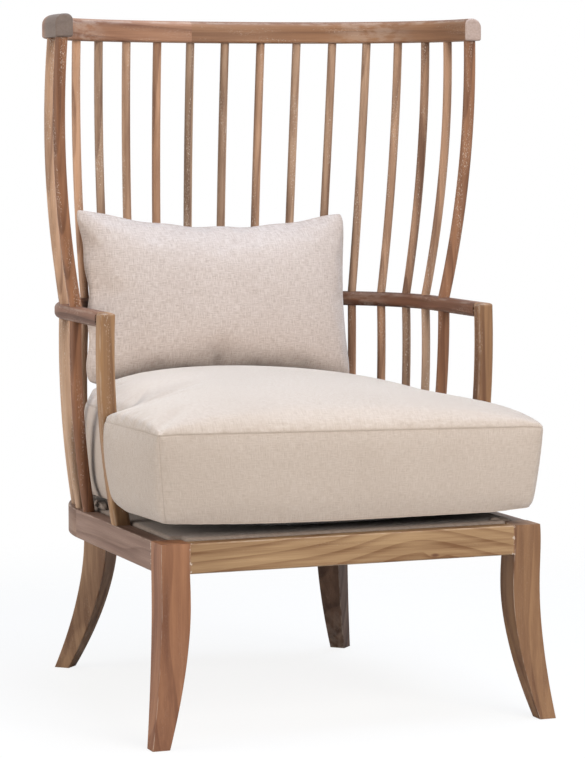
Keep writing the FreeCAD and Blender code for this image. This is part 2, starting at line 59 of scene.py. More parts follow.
# %% Camera
def put(name, data):
    """A new object in the scene."""
    made = bpy.data.objects.new(name, data)
    scene.collection.objects.link(made)
    return made


PICTURE_H = 758
FOCAL_PX = 2974.0
AXIS_RIGHT_PX = 42.7
CAMERA_PLACE = (-1.7718, -4.6869, 0.9815)
CAMERA_TILT, CAMERA_TURN = math.radians(84.9), math.radians(-21.91)
camera_data = bpy.data.cameras.new("camera")
camera_data.sensor_width = 36.0
camera_data.lens = FOCAL_PX * camera_data.sensor_width / PICTURE_H
camera_data.shift_x = -AXIS_RIGHT_PX / PICTURE_H
camera = put("camera", camera_data)
camera.location = CAMERA_PLACE
camera.rotation_euler = (CAMERA_TILT, 0.0, CAMERA_TURN)
scene.camera = camera
print("lens", round(camera_data.lens, 1), "mm")

# %% [markdown]
# ## Small helpers for shader nodes
#
# A node tree is easier to read as sums than as a drawing. A Flow stands for what comes out of one
# node, and adding or multiplying flows makes the Math nodes that do it. The other helpers make one
# node each, and take either a number or a flow for every input.


# %% Flows
class Flow:
    """What comes out of a node. Sums with it make the Math nodes that reckon it."""

    def __init__(self, socket):
        self.socket = socket
        self.tree = socket.id_data

    def reckon(self, operation, other=0.0):
        return flow(self.tree, "Math", {0: self, 1: other}, operation=operation)

    def __add__(self, other):
        return self.reckon("ADD", other)

    def __sub__(self, other):
        return self.reckon("SUBTRACT", other)

    def __mul__(self, other):
        return self.reckon("MULTIPLY", other)

    def __truediv__(self, other):
        return self.reckon("DIVIDE", other)

    def __abs__(self):
        return self.reckon("ABSOLUTE")


def join(made, inputs):
    """Set a node's inputs, each to a number or to what flows out of another node."""
    for key, value in inputs.items():
        if isinstance(value, Flow):
            made.id_data.links.new(value.socket, made.inputs[key])
        else:
            made.inputs[key].default_value = value
    return made


def node(tree, kind, inputs=None, **settings):
    made = tree.nodes.new("ShaderNode" + kind)
    for key, value in settings.items():
        setattr(made, key, value)
    return join(made, inputs or {})


def flow(tree, kind, inputs=None, out=0, **settings):
    """What comes out of a new node, by the output's number or name."""
    return Flow(node(tree, kind, inputs, **settings).outputs[out])


print("flows ready")


# %% Node helpers
def paint(r, g, b):
    """A colour as a picture editor shows it, turned into the light that a shader reckons with."""
    light = [((c / 255 + 0.055) / 1.055) ** 2.4 if c > 10 else c / 255 / 12.92 for c in (r, g, b)]
    return (*light, 1.0)


def band(value, low, high, out_low=0.0, out_high=1.0):
    """A soft step: out_low below low, out_high above high, and smooth between."""
    sockets = {"Value": value, "From Min": low, "From Max": high, "To Min": out_low, "To Max": out_high}
    return flow(value.tree, "MapRange", sockets, interpolation_type="SMOOTHSTEP")


def chosen(share, a, b):
    """The number a where share is 0, and b where it is 1."""
    return flow(share.tree, "Mix", {0: share, 2: a, 3: b}, data_type="FLOAT")


def mixed(share, a, b):
    """The colour a where share is 0, and b where it is 1."""
    return flow(share.tree, "Mix", {0: share, 6: a, 7: b}, 2, data_type="RGBA")


def dimmed(colour, by, share=1.0):
    """The colour multiplied by another colour or a shade."""
    sockets = {0: share, 6: colour, 7: by}
    return flow(colour.tree, "Mix", sockets, 2, data_type="RGBA", blend_type="MULTIPLY")


def vector(x, y, z=0.0):
    return flow(x.tree, "CombineXYZ", {0: x, 1: y, 2: z})


def axes(place):
    """The three numbers of a place."""
    return [Flow(socket) for socket in node(place.tree, "SeparateXYZ", {0: place}).outputs]


def vectors(operation, a, b):
    return flow(a.tree, "VectorMath", {0: a, 1: b}, operation=operation)


def length(place):
    return flow(place.tree, "VectorMath", {0: place}, "Value", operation="LENGTH")


def vary(place, stretch, detail=2.0, rough=0.5):
    """Cloudy noise from 0 to 1, with so many cycles a metre along each of the three directions."""
    scaled = vectors("MULTIPLY", place, stretch)
    sockets = {"Vector": scaled, "Scale": 1.0, "Detail": detail, "Roughness": rough}
    return flow(place.tree, "TexNoise", sockets)


def new_group(name, inputs, outputs):
    """A node group, its sockets listed by their kind, and what flows into it by label."""
    tree = bpy.data.node_groups.new(name, "ShaderNodeTree")
    for way, sockets in (("INPUT", inputs), ("OUTPUT", outputs)):
        for kind, labels in sockets.items():
            for label in labels:
                tree.interface.new_socket(label, in_out=way, socket_type="NodeSocket" + kind)
    return tree, {socket.name: Flow(socket) for socket in tree.nodes.new("NodeGroupInput").outputs}


def hand_out(tree, **results):
    """Lead flows to the group's outputs."""
    join(tree.nodes.new("NodeGroupOutput"), results)
    print(tree.name, "has", len(tree.nodes), "nodes")


def use_group(tree, group, inputs):
    made = tree.nodes.new("ShaderNodeGroup")
    made.node_tree = group
    return {socket.name: Flow(socket) for socket in join(made, inputs).outputs}


print("node helpers ready")

# %% [markdown]
# ## Which way the grain runs
#
# Grain follows the length of a board. In a turned spindle or a leg that is straight up, in a rail it
# is along the rail, and in a bent bow it goes round the bend. A texture laid flat over a bow would
# cut across it, so this group unrolls the bow: it turns a place on it into a length along the bow, a
# height and a distance outwards. A bow is one wide arc behind the back, a tighter arc at each corner
# and two straight runs, the same three curves that a bending form has.

# %% Unrolled bow
BOW_SIZES = ("Back", "Half Width", "Back Radius", "Corner Offset", "Turn", "Straight From")
bow_run, given = new_group("unrolled bow", {"Float": BOW_SIZES}, {"Vector": ["Run"]})
x, y, z = axes(flow(bow_run, "TexCoord", out="Object"))
side_x = abs(x)
corner_r = given["Half Width"] - given["Corner Offset"]
ring_y = y - (given["Back"] - given["Back Radius"])
turn_here = side_x.reckon("ARCTAN2", ring_y)
back_out = length(vector(side_x, ring_y)) - given["Back Radius"]
back_along = turn_here * given["Back Radius"]
corner_x = side_x - given["Corner Offset"]
corner_y = y - given["Straight From"]
corner_out = length(vector(corner_x, corner_y)) - corner_r
corner_start = given["Turn"] * given["Back Radius"]
corner_turn = corner_x.reckon("ARCTAN2", corner_y) - given["Turn"]
corner_along = corner_turn * corner_r + corner_start
full_turn = given["Turn"] * -1.0 + math.pi / 2
run_along = full_turn * corner_r + corner_start - corner_y
run_out = side_x - given["Half Width"]
in_corner = turn_here.reckon("GREATER_THAN", given["Turn"])
in_run = corner_y.reckon("LESS_THAN", 0.0)
along = chosen(in_run, chosen(in_corner, back_along, corner_along), run_along)
outwards = chosen(in_run, chosen(in_corner, back_out, corner_out), run_out)
hand_out(bow_run, Run=vector(along * x.reckon("SIGN"), z, outwards))

# %% [markdown]
# ## Limed, weathered wood
#
# The wood is an open-grained board wood, brushed until its soft summer wood sank, then rubbed with
# lime wax. Three things make it look like that: growth rings cut at a slant, which show as long
# wandering lines and closed arches; fine streaks along the fibre; and pale wax left in the pores,
# thick in some places and gone in others. Each is a noise that is stretched along the run, with its
# own count of cycles a metre. A seed for each piece keeps two spindles from being twins.

# %% Limed wood
KNOT_WIDE, KNOT_CORE = 0.012, (0.0012, 0.0045)
KNOT_BROWN = paint(96, 58, 38)
ARCH_SPREAD = 0.02
limed_wood, given = new_group(
    "limed wood",
    {"Vector": ["Run", "Knot"], "Color": ["Pale", "Deep", "Lime", "Tint"],
     "Float": ["Lime Share", "Rings", "Wander", "Arch At", "Arch Drop", "Tint Share"]},
    {"Color": ["Color"], "Float": ["Roughness", "Height"]})
run = given["Run"]
seed = flow(limed_wood, "ObjectInfo", out="Random")
board = vectors("ADD", run, vector(seed * 31.0, seed * 3.7, seed * 5.3))
knot_far = length(vectors("MULTIPLY", vectors("SUBTRACT", run, given["Knot"]), (0.45, 1.0, 0.0)))
knot_pull = band(knot_far, 0.0, KNOT_WIDE, 1.0, 0.0)
_, board_up, board_out = axes(board)
from_arch = axes(run)[0] - given["Arch At"]
from_arch = from_arch * from_arch
arch = from_arch / (from_arch + ARCH_SPREAD)
slant = board_out * 0.55 + board_up + arch * given["Arch Drop"]
slow = vary(board, (2.2, 9.0, 9.0), 1.5)
growth = slow * given["Wander"] + slant * given["Rings"] + knot_pull * 0.4
phase = growth.reckon("FRACT")
late = band(phase, 0.45, 0.92) * band(phase, 0.92, 1.0, 1.0, 0.0)
fibre = vary(board, (16.0, 520.0, 520.0), 3.0, 0.6)
streak = vary(board, (3.0, 90.0, 90.0))
cloud = vary(board, (5.0, 14.0, 14.0))
fleck = vary(board, (330.0, 820.0, 820.0))
waxed = vary(board, (7.0, 70.0, 70.0))
paler = ((seed * 57.3).reckon("FRACT") - 0.5) * given["Tint Share"]
leaning = (seed * 23.7).reckon("FRACT") * given["Tint Share"]
tone = band(streak, 0.3, 0.7) * 0.38 + (fibre - 0.5) * 0.6 + (cloud - 0.5) - late * 0.4 + paler * 0.5 + 0.4
tone = flow(limed_wood, "Clamp", {0: tone})
colour = dimmed(mixed(tone, given["Deep"], given["Pale"]), given["Tint"], leaning)
colour = mixed(band(knot_far, *KNOT_CORE, 0.85, 0.0), colour, KNOT_BROWN)
wax = band(fleck, 0.57, 0.67) * band(waxed, 0.5, 0.62) * given["Lime Share"]
hand_out(limed_wood, Color=mixed(wax, colour, given["Lime"]), Roughness=wax * 0.2 - tone * 0.1 + 0.6,
         Height=fibre + (late - fleck) * 0.25)

# %% [markdown]
# ## Handled edges, filled joints and painted shade in hollows
#
# Edges are where hands and brushes rub, so the stain is thin and pale there. The rounded edges of a
# squared member are found by their normal: it lies between two of the member's own directions. Joints
# are where wax stays: little light reaches a narrow corner, and that marks it. At the front corners
# the wax also stands in dots along the joints, which the group finds by their planes. Wider hollows
# get a little painted shade: the less open sky a place sees, the darker its colour is made.

# %% Edge, joint and painted shade group
NARROW, HOLLOW = 0.007, 0.05
edge_wear_and_shade, given = new_group(
    "edge wear and painted shade",
    {"Vector": ["Run", "Joint At"], "Float": ["Angle", "Edge Share", "Joint Share"]},
    {"Float": ["Mask", "Shade"]})
run = given["Run"]
normal = flow(edge_wear_and_shade, "NewGeometry", out="Normal")
facing = flow(edge_wear_and_shade, "VectorRotate", {"Vector": normal, "Angle": given["Angle"]}, rotation_type="Z_AXIS")
flat = [abs(part) for part in axes(facing)]
square = flat[0].reckon("MAXIMUM", flat[1]).reckon("MAXIMUM", flat[2])
rubbed = band(vary(run, (30.0, 90.0, 90.0), 3.0, 0.6), 0.38, 0.62)
edge = band(square, 0.76, 0.93, 1.0, 0.0) * rubbed * given["Edge Share"]
tight = flow(edge_wear_and_shade, "AmbientOcclusion", {"Distance": NARROW}, "AO", samples=8)
crumbs = band(vary(run, (220.0, 220.0, 220.0)), 0.42, 0.6)
joint = band(tight, 0.3, 0.62, 1.0, 0.0) * crumbs * given["Joint Share"]
x, y, z = axes(flow(edge_wear_and_shade, "TexCoord", out="Object"))
line_x, line_y, line_z = axes(given["Joint At"])
off_line = abs(abs(x) - line_x).reckon("MINIMUM", abs(y - line_y))
seam = band(off_line, 0.0012, 0.0036, 1.0, 0.0) * z.reckon("GREATER_THAN", line_z)
dots = band(vary(run, (190.0, 190.0, 190.0), 1.0), 0.6, 0.66)
joint = joint.reckon("MAXIMUM", seam * dots * 0.8)
# Painted shade: wider hollows, which see little open sky, are given a darker colour.
sky_seen_for_painted_shade = flow(edge_wear_and_shade, "AmbientOcclusion", {"Distance": HOLLOW}, "AO", samples=8)
hand_out(edge_wear_and_shade, Mask=edge.reckon("MAXIMUM", joint), Shade=band(sky_seen_for_painted_shade, 0.15, 0.75, 0.72, 1.0))

# %% [markdown]
# ## The wood of each member
#
# The members come from different boards: the front rail is olive and plainly arched, the left front
# leg and several spindles are redder, the rails at the side are greyer. One function builds the finish
# from the shared groups, and every kind of member gives it its own run and colours. The crest's ends
# have weathered to grey.

# %% Wood finish
UPRIGHT, ACROSS_FRONT, ALONG_SIDE, FRONT_TO_BACK = (2, 0, 1), (0, 2, 1), (1, 2, 0), (1, 0, 2)
LIME = paint(218, 202, 186)
WHITE = (1.0, 1.0, 1.0, 1.0)
FAR = (9.0, 9.0, 9.0)


def new_finish(name):
    """A new material and its node tree."""
    finish = bpy.data.materials.new(name)
    finish.use_nodes = True
    return finish, finish.node_tree


def wood_finish(name, run, pale, deep, lime=0.6, rings=70.0, wander=4.0, angle=0.0, edge=0.5, joint=0.6,
                knot=FAR, arch=(0.0, 0.0), tint=(WHITE, 0.0), line=FAR, end=None):
    """A limed wood. run orders the axes along the grain first, or gives a bow's sizes to unroll it by.
    end gives a weathered end's depth in the chair, its reach and its two greys."""
    finish, tree = new_finish(name)
    spot = axes(flow(tree, "TexCoord", out="Object"))
    if isinstance(run, dict):
        place = use_group(tree, bow_run, run)["Run"]
    else:
        place = vector(*[spot[i] for i in run])
    wood = use_group(tree, limed_wood, {
        "Run": place, "Pale": paint(*pale), "Deep": paint(*deep), "Lime": LIME, "Lime Share": lime,
        "Rings": rings, "Wander": wander, "Knot": knot, "Arch At": arch[0], "Arch Drop": arch[1],
        "Tint": tint[0], "Tint Share": tint[1]})
    wear = use_group(tree, edge_wear_and_shade, {
        "Run": place, "Angle": angle, "Edge Share": edge, "Joint Share": joint, "Joint At": line})
    colour = mixed(wear["Mask"], wood["Color"], LIME)
    if end:
        end_y, reach, dark_grey, pale_grey = end
        grey = vary(place, (90.0, 260.0, 260.0), 3.0, 0.65)
        weathered = band(spot[1], end_y + reach * 0.5, end_y + reach, 0.9, 0.0)
        colour = mixed(weathered, colour, mixed(grey, paint(*dark_grey), paint(*pale_grey)))
    bump = flow(tree, "Bump", {"Height": wood["Height"], "Strength": 0.35, "Distance": 0.0006})
    # The wood's colour is multiplied by the group's painted shade, darker in hollows.
    join(tree.nodes["Principled BSDF"], {
        "Base Color": dimmed(colour, wear["Shade"]), "Roughness": wood["Roughness"], "Normal": bump,
        "Specular IOR Level": 0.35})
    return finish


print("wood finish ready")

# %% Wood of each kind of member
FRONT_JOINTS = (0.276, -0.3175, 0.268)
REDDER = paint(255, 226, 208)
CREST_END = -0.0105
POST = dict(lime=0.75, rings=45.0, wander=3.0, edge=0.0, tint=(REDDER, 0.35))
FRONT_LEG = dict(lime=0.06, rings=30.0, wander=2.2, edge=0.4, line=FRONT_JOINTS)
REAR_LEG = dict(lime=0.1, rings=30.0, wander=2.2, edge=0.3, angle=math.radians(45))
ARM_POST = dict(lime=0.4, rings=40.0, wander=2.5, edge=0.2)
RAIL = dict(lime=0.15, rings=36.0, wander=2.5, edge=0.4)
CREST = dict(lime=0.3, rings=40.0, wander=2.5, edge=0.2)
crest_run = dict(zip(BOW_SIZES, (0.3265, 0.365, 0.496, 0.078, 0.3824, 0.0244)))
arm_run = dict(zip(BOW_SIZES, (0.3525, 0.334, 0.390, 0.097, 0.6866, 0.0808)))
frame_run = dict(zip(BOW_SIZES, (0.3875, 0.324, 0.400, 0.019, 0.2014, 0.0806)))
woods = {}


def add_wood(kind, run, pale, deep, **more):
    woods[kind] = wood_finish("limed wood " + kind.replace("_", " "), run, pale, deep, **more)


add_wood("spindle", UPRIGHT, (198, 168, 141), (121, 95, 76), lime=0.85, rings=45.0, wander=3.0, edge=0.0,
         tint=(REDDER, 0.75))
add_wood("end_post_left", UPRIGHT, (156, 110, 77), (98, 63, 42), **POST)
add_wood("end_post_right", UPRIGHT, (166, 122, 90), (104, 69, 48), **POST)
add_wood("front_leg_left", UPRIGHT, (163, 114, 81), (116, 74, 51), **FRONT_LEG)
add_wood("front_leg_right", UPRIGHT, (155, 117, 83), (110, 75, 51), **FRONT_LEG)
# The rear legs are lit and shaded copies of one wood: the left one is painted lighter, as painted light from
# the left, and the right one darker, as painted shade under the seat.
add_wood("rear_leg_left", UPRIGHT, (174, 138, 106), (119, 87, 64), **REAR_LEG)
add_wood("rear_leg_right", UPRIGHT, (124, 96, 78), (76, 54, 42), **REAR_LEG)
# The left arm post is painted lighter than the right one, as painted light from the left.
add_wood("arm_post_left", UPRIGHT, (170, 131, 91), (114, 79, 52), **ARM_POST)
add_wood("arm_post_right", UPRIGHT, (158, 120, 84), (104, 70, 46), **ARM_POST)
add_wood("front_rail", ACROSS_FRONT, (180, 147, 108), (120, 84, 53), lime=0.1, rings=50.0, wander=2.4,
         edge=0.4, knot=(0.137, 0.277, 0.0), arch=(0.11, 0.06), line=FRONT_JOINTS)
add_wood("side_rail", ALONG_SIDE, (146, 117, 101), (103, 75, 61), line=FRONT_JOINTS, **RAIL)
add_wood("rear_rail", frame_run, (150, 119, 99), (105, 76, 59), **RAIL)
add_wood("arm", arm_run, (126, 85, 62), (78, 48, 33), lime=0.5, rings=40.0, wander=2.5, edge=0.15, joint=0.9)
add_wood("crest_left", crest_run, (165, 121, 92), (110, 72, 52),
         end=(CREST_END, 0.10, (92, 79, 71), (122, 109, 101)), **CREST)
add_wood("crest_right", crest_run, (154, 112, 79), (104, 68, 46),
         end=(CREST_END, 0.003, (150, 126, 116), (198, 180, 170)), **CREST)
print(len(woods), "wood finishes")

# %% [markdown]
# ## Finishes on the solids
#
# A solid keeps its shape and only takes a finish in its material slot. Its name says what kind of
# member it is.


# %% Give each wooden solid its finish
def kind_of(name):
    """The finish whose name the solid's name starts with, or holds, such as a spindle's."""
    for kind in woods:
        if name.startswith(kind) or (kind.startswith(("spindle", "end_post")) and kind in name):
            return kind
    return None


def dress(solid, finish):
    solid.data.materials.clear()
    solid.data.materials.append(finish)


wooden = [name for name in nodes if kind_of(name)]
for name in wooden:
    dress(nodes[name], woods[kind_of(name)])
print(len(wooden), "solids dressed in wood")

# %% [markdown]
# ## Wax in the corner joints
#
# Where the rails meet the front legs the leg's eased edge leaves a fine groove, which the liming filled.
# Each filling is a thin run of wax, a little uneven along its height. It could be left to the finish
# alone, but a groove that is filled has no shadow, and only a real run of wax takes the shadow away.

# %% Wax in the corner joints
EASE = 0.002
CORNER_Y, CORNER_X = -0.3695, 0.324
RAIL_LOW, RAIL_HIGH = 0.2705, 0.3175
WAX_ROWS = 32
front_joint = ((FRONT_JOINTS[0], CORNER_Y), (EASE, 0.0), (0.0, EASE))
side_joint = ((CORNER_X, FRONT_JOINTS[1]), (0.0, -EASE), (-EASE, 0.0))
wax_points, wax_faces = [], []
for side in (-1, 1):
    for corner, away, inward in (np.array(front_joint), np.array(side_joint)):
        start = len(wax_points)
        for row in range(WAX_ROWS + 1):
            z = RAIL_LOW + (RAIL_HIGH - RAIL_LOW) * row / WAX_ROWS
            low = inward * (0.10 + 0.06 * math.sin(1.9 * row) * math.sin(0.7 * row + side))
            ring = (corner + low, corner + away + low * 0.4, corner + (away + inward) * 0.3, corner + inward)
            wax_points += [(side * x, y, z) for x, y in ring]
        for row in range(WAX_ROWS):
            base = start + row * 4
            for a in range(4):
                b = (a + 1) % 4
                wax_faces.append((base + a, base + b, base + b + 4, base + a + 4))
        last = start + WAX_ROWS * 4
        wax_faces += [(start + 3, start + 2, start + 1, start), (last, last + 1, last + 2, last + 3)]
wax_mesh = bpy.data.meshes.new("corner_joint_wax")
wax_mesh.from_pydata(wax_points, [], wax_faces)
shell = bmesh.new()
shell.from_mesh(wax_mesh)
bmesh.ops.recalc_face_normals(shell, faces=shell.faces)
shell.to_mesh(wax_mesh)
shell.free()
wax_finish = wood_finish("limed wood corner joint", UPRIGHT, (166, 126, 94), (128, 92, 66), lime=0.8,
                         line=FRONT_JOINTS)
wax_mesh.materials.append(wax_finish)
joint_wax = put("corner_joint_wax", wax_mesh)
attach(joint_wax, "frame")
print("wax in", len(wax_faces) // (WAX_ROWS * 4), "corner joints")

# %% [markdown]
# ## The deck board
#
# Under the deck cloth lies a sheet of board that only shows from below. A peeled veneer has wide, lazy
# rings, so the same wood group does it with few rings, a long wander and no lime.

# %% Deck board
veneer = wood_finish("peeled veneer", FRONT_TO_BACK, (206, 178, 140), (164, 130, 94), lime=0.0, rings=22.0,
                     wander=6.0, edge=0.0, joint=0.0)
dress(nodes["deck_board"], veneer)
print("deck board dressed")

# %% [markdown]
# ## Linen
#
# Linen yarn is uneven: every thread has thick slubs and thin places, which show as short dashes along
# both thread directions. The weave itself is so fine that from a step away only the dashes are left.
# The group takes a place on the cut cloth in metres, so threads run straight along each panel and
# turn at the seams, as cut cloth does.

# %% Linen group
linen, given = new_group(
    "linen",
    {"Vector": ["Cloth Place"], "Color": ["Base", "Dark Yarn", "Pale Yarn"],
     "Float": ["Thread", "Slub Share"]},
    {"Color": ["Color"], "Float": ["Height"]})
cloth = given["Cloth Place"]
warp, weft = [(side / given["Thread"] * math.pi).reckon("COSINE") for side in axes(cloth)[:2]]
over = warp * weft * 0.5 + 0.5
along_warp = vary(cloth, (600.0, 70.0, 0.0), 2.0, 0.6)
along_weft = vary(cloth, (80.0, 600.0, 0.0), 2.0, 0.6)
thick = band(along_warp, 0.5, 0.68).reckon("MAXIMUM", band(along_weft, 0.5, 0.68))
thin = band(along_warp, 0.46, 0.3).reckon("MAXIMUM", band(along_weft, 0.46, 0.3))
patch = vary(cloth, (7.0, 7.0, 0.0))
colour = mixed(thin * given["Slub Share"], given["Base"], given["Dark Yarn"])
colour = mixed(thick * given["Slub Share"], colour, given["Pale Yarn"])
colour = mixed(band(over, 0.0, 0.5, 0.22, 0.0), colour, given["Dark Yarn"])
colour = mixed(band(patch, 0.35, 0.7, 0.0, 0.1), colour, given["Dark Yarn"])
hand_out(linen, Color=colour, Height=thick * 0.6 + over)

# %% [markdown]
# ## Three cloths
#
# The seat and the pillow are of two bolts of the same pale linen, the pillow's a little rougher. The
# deck is covered in a plain grey-brown weave. Stitched seams show as a darker line, and cloth that lies
# close to something else is darkened there with painted shade, the pillow most, where its foot is tucked into
# the seat.

# %% Cloth finishes
STITCH = paint(142, 121, 104)


def cloth_finish(name, base, dark, pale, slub, thread=0.0011, sheen=0.7, shade_reach=0.02):
    """A linen with dark seam lines, where the mesh marks them. It is darkened with painted shade near what it
    touches, as far out as the given reach.
    """
    finish, tree = new_finish(name)
    place = flow(tree, "UVMap", uv_map="cut cloth")
    yarn = use_group(tree, linen, {
        "Cloth Place": place, "Thread": thread, "Base": paint(*base), "Dark Yarn": paint(*dark),
        "Pale Yarn": paint(*pale), "Slub Share": slub})
    sewn = flow(tree, "Attribute", out="Fac", attribute_name="seam line")
    # Painted shade: the cloth's colour is darkened where little open sky reaches it, close to what it
    # touches.
    near = flow(tree, "AmbientOcclusion", {"Distance": shade_reach}, "AO", samples=8)
    colour = mixed(band(sewn, 0.45, 0.95, 0.0, 0.25), yarn["Color"], STITCH)
    bump = flow(tree, "Bump", {"Height": yarn["Height"], "Strength": 0.5, "Distance": 0.0006})
    join(tree.nodes["Principled BSDF"], {
        "Base Color": dimmed(colour, band(near, 0.2, 0.85, 0.66, 1.0)), "Normal": bump, "Roughness": 0.9,
        "Specular IOR Level": 0.15, "Sheen Weight": sheen, "Sheen Roughness": 0.3})
    return finish


seat_linen = cloth_finish("seat linen", (203, 188, 175), (170, 152, 136), (226, 215, 205), 0.3)
pillow_linen = cloth_finish("pillow linen", (205, 191, 182), (164, 146, 135), (230, 220, 213), 0.5, shade_reach=0.07)
deck_weave = cloth_finish("deck weave", (150, 136, 126), (116, 104, 96), (178, 165, 155), 0.5, 0.0014, 0.2)
print("three cloth finishes")

# %% [markdown]
# ## Cutting panels and letting them swell
#
# A cushion is sewn from flat panels, so it is modelled from panels too. A panel is an outline filled
# with evenly spread points, which cloth needs to bend freely in every direction. The height of a
# stuffed panel is the shape that a soap film takes when air pushes it up from its rim: low near the
# seams, flat in the middle. Then Blender's cloth swells the sewn cover with the seams held, and the
# threads between them find their own small hollows.


# %% Panels
FILM_PUSH = 1e-3
RIM_CLEAR = 0.62


def inset_ring(rim, depth):
    """The outline moved inwards by depth."""
    rim = np.asarray(rim, float)
    way = np.roll(rim, -1, axis=0) - np.roll(rim, 1, axis=0)
    inwards = np.stack([-way[:, 1], way[:, 0]], 1) / np.linalg.norm(way, axis=1)[:, None]
    return rim + inwards * depth


def fill_panel(rim, spacing, collars=()):
    """Points and triangles that fill a closed outline: its own points first, then its collars'."""
    rings = [np.asarray(rim, float)] + [inset_ring(rim, depth) for depth in collars]
    edge = rings[-1]
    ends = np.roll(edge, -1, axis=0)
    low, high = edge.min(0), edge.max(0)
    inside = []
    row_step = spacing * math.sqrt(3) / 2
    for row, y in enumerate(np.arange(low[1] + spacing * 0.5, high[1], row_step)):
        crossed = (edge[:, 1] > y) != (ends[:, 1] > y)
        share = (y - edge[:, 1]) / (ends[:, 1] - edge[:, 1] + 1e-12)
        cut = edge[:, 0] + share * (ends[:, 0] - edge[:, 0])
        for x in np.arange(low[0] + spacing * (0.5 if row % 2 else 1.0), high[0], spacing):
            within = np.count_nonzero(crossed & (x < cut)) % 2 == 1
            if within and np.min(np.hypot(edge[:, 0] - x, edge[:, 1] - y)) > spacing * RIM_CLEAR:
                inside.append((x, y))
    points = [Vector(p) for ring in rings for p in ring] + [Vector(p) for p in inside]
    made = geometry.delaunay_2d_cdt(points, [], [list(range(len(rim)))], 1, 1e-7)
    return np.array([tuple(p) for p in made[0]]), [tuple(f) for f in made[2]]


def soap_film(points, faces, rim_count, rounds):
    """Heights from 0 at the rim to 1 at the highest place, as a film over the outline would rise."""
    near = [set() for _ in points]
    for f in faces:
        for a, b in zip(f, f[1:] + f[:1]):
            near[a].add(b)
            near[b].add(a)
    most = max(len(n) for n in near)
    table = np.array([sorted(n) + [i] * (most - len(n)) for i, n in enumerate(near)])
    count = np.array([len(n) for n in near], float)
    spare = most - count
    free = np.arange(len(points)) >= rim_count
    height = np.zeros(len(points))
    for _ in range(rounds):
        mean = (height[table].sum(1) - spare * height) / count
        height = np.where(free, mean + FILM_PUSH, 0.0)
    return height / height.max()


print("panel helpers ready")

# %% Pieces of cloth
SEAM_CREASE = 0.7


def mesh_points(mesh):
    flat = np.empty(len(mesh.vertices) * 3)
    mesh.vertices.foreach_get("co", flat)
    return flat.reshape(-1, 3)


def set_points(piece, places):
    piece.data.vertices.foreach_set("co", np.asarray(places, float).ravel())
    piece.data.update()


def make_piece(name, points, faces, cloth_places, finish, body, replaced):
    """A mesh with its cut-cloth places, dressed, riding on its body in place of a soft solid."""
    mesh = bpy.data.meshes.new(name)
    mesh.from_pydata([tuple(p) for p in points], [], faces)
    layer = mesh.uv_layers.new(name="cut cloth")
    layer.data.foreach_set("uv", np.asarray(cloth_places, float).ravel())
    mesh.polygons.foreach_set("use_smooth", [True] * len(mesh.polygons))
    mesh.materials.append(finish)
    piece = put(name, mesh)
    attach(piece, body)
    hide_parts(replaced)
    return piece


def mark_seams(piece, sewn, creased):
    """Mark the sewn points for the finish, and keep edges between creased points sharp when subdivided."""
    mesh = piece.data
    line = mesh.attributes.new("seam line", "FLOAT", "POINT")
    line.data.foreach_set("value", [1.0 if i in sewn else 0.0 for i in range(len(mesh.vertices))])
    sharp = mesh.attributes.new("crease_edge", "FLOAT", "EDGE")
    sharp.data.foreach_set("value", [SEAM_CREASE if set(e.vertices) <= creased else 0.0 for e in mesh.edges])


print("piece helpers ready")

# %% Swelling
SWELL_FRAMES, SWELL_PRESSURE = 20, 2.0


def swell(piece, held, cap, slack):
    """Blow the cover up with its held points fixed, and keep each point within cap of where it was."""
    group = piece.vertex_groups.new(name="held")
    for i, weight in held.items():
        group.add([i], weight, "REPLACE")
    cloth = piece.modifiers.new("swell", "CLOTH")
    cloth.settings.quality = 6
    cloth.settings.mass = 0.25
    cloth.settings.tension_stiffness = 14.0
    cloth.settings.compression_stiffness = 14.0
    cloth.settings.shear_stiffness = 5.0
    cloth.settings.bending_stiffness = 0.4
    cloth.settings.use_pressure = True
    cloth.settings.uniform_pressure_force = SWELL_PRESSURE
    cloth.settings.shrink_min = -slack
    cloth.settings.vertex_group_mass = "held"
    cloth.settings.effector_weights.gravity = 0.0
    cloth.collision_settings.use_collision = False
    cloth.point_cache.frame_end = SWELL_FRAMES
    for f in range(1, SWELL_FRAMES + 1):
        scene.frame_set(f)
    before = mesh_points(piece.data)
    shown = piece.evaluated_get(bpy.context.evaluated_depsgraph_get()).to_mesh()
    moved = mesh_points(shown) - before
    far = np.linalg.norm(moved, axis=1)
    print(piece.name, "moved", round(float(far.mean()) * 1000, 1), "mm on average,",
          round(float(far.max()) * 1000, 1), "at most")
    moved *= (cap * np.tanh(far / cap) / np.maximum(far, 1e-9))[:, None]
    piece.modifiers.remove(cloth)
    piece.vertex_groups.clear()
    scene.frame_set(1)
    set_points(piece, before + moved)


print("swelling ready")

# %% [markdown]
# ## The seat cushion's outline
#
# In plan the cushion is a T: two ears fill the corners in front of the arm posts, and the neck behind
# them passes between the spindles and follows the curve of the back. Top and bottom panels have
# nearly the same outline, with a boxing band sewn between. Each stretch of the outline gets the same
# number of points on both panels, so that the band's threads stand upright.

# %% Seat outline
Y_MID = 0.3695
NECK_X = -0.006
DECK_TOP = 0.323
FRONT_MARKS = [i / 38 for i in range(1, 37)] + [0.972, 0.986, 0.9935, 1.0]
CORNER_STEPS = 8
EAR_R, INNER_R = 0.008, 0.010
BEND_SHARE, BACK_FLATTER = 0.066, 0.095


def toward(a, b, marks):
    """Points from a to b at the given shares of the way."""
    return [(a[0] + (b[0] - a[0]) * m, a[1] + (b[1] - a[1]) * m) for m in marks]


def line_points(a, b, count):
    return toward(a, b, [i / count for i in range(1, count + 1)])


def arc_points(cx, cy, r, start, stop, count):
    turns = np.radians(np.linspace(start, stop, count + 1)[1:])
    return [(cx + r * math.cos(t), cy + r * math.sin(t)) for t in turns]


